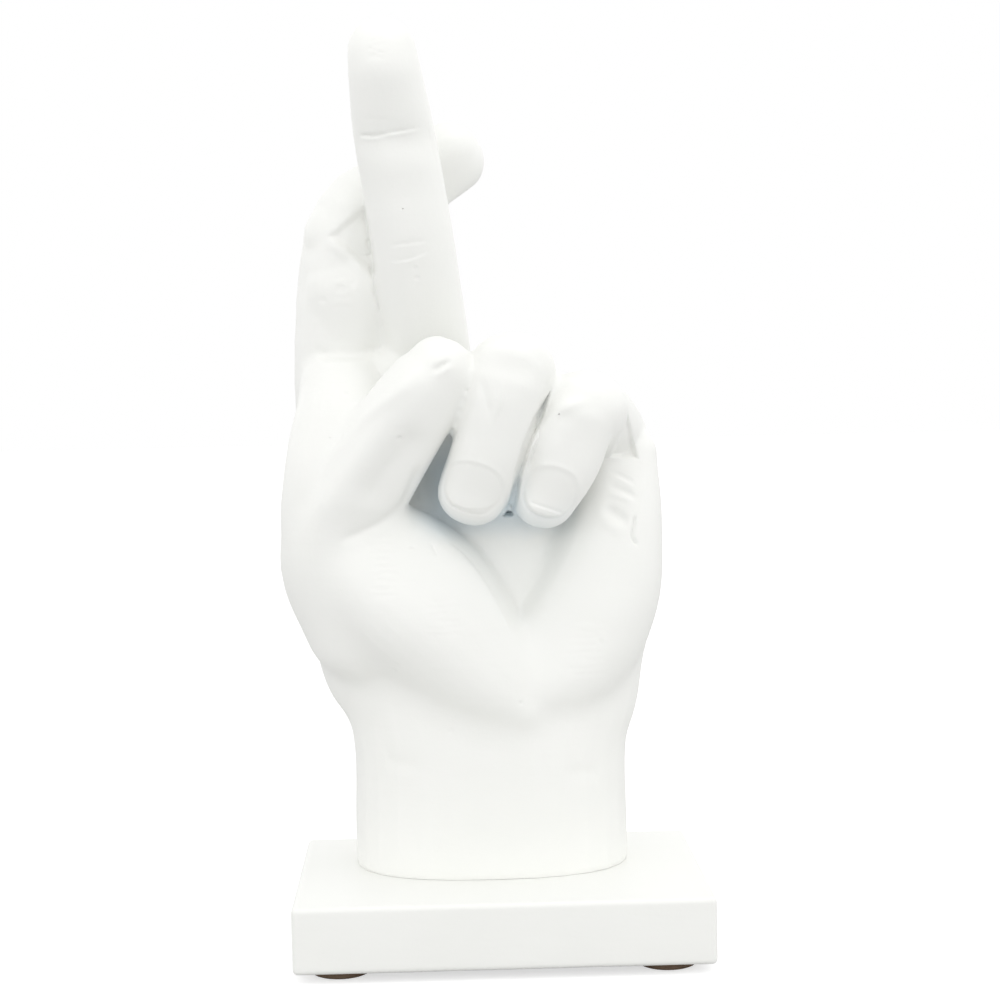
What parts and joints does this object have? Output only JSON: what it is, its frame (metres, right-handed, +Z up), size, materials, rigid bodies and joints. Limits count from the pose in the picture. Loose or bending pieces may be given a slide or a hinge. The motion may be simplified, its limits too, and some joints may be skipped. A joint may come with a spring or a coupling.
{
  "type": "hand sculpture",
  "caption": "Cast hand with the index finger crossed behind the middle one, the others folded, on a rectangular plinth with round pads.",
  "frame": {"origin": "under the middle of the plinth, on the plane that the four pads stand on", "axes": "+Z up along the hand, the palm faces -Y, +X is to the right of someone who looks at the palm"},
  "size_m": [0.1148, 0.08, 0.2543],
  "materials": {
    "cast_white": "white satin enamel on cast resin",
    "plinth_white": "white satin enamel",
    "pad_black": "matt black pad"
  },
  "bodies": {
    "root": {"hand": "cast_white", "plinth": "plinth_white", "pad_front_left": "pad_black", "pad_front_right": "pad_black", "pad_back_left": "pad_black", "pad_back_right": "pad_black"}
  },
  "joints": []
}
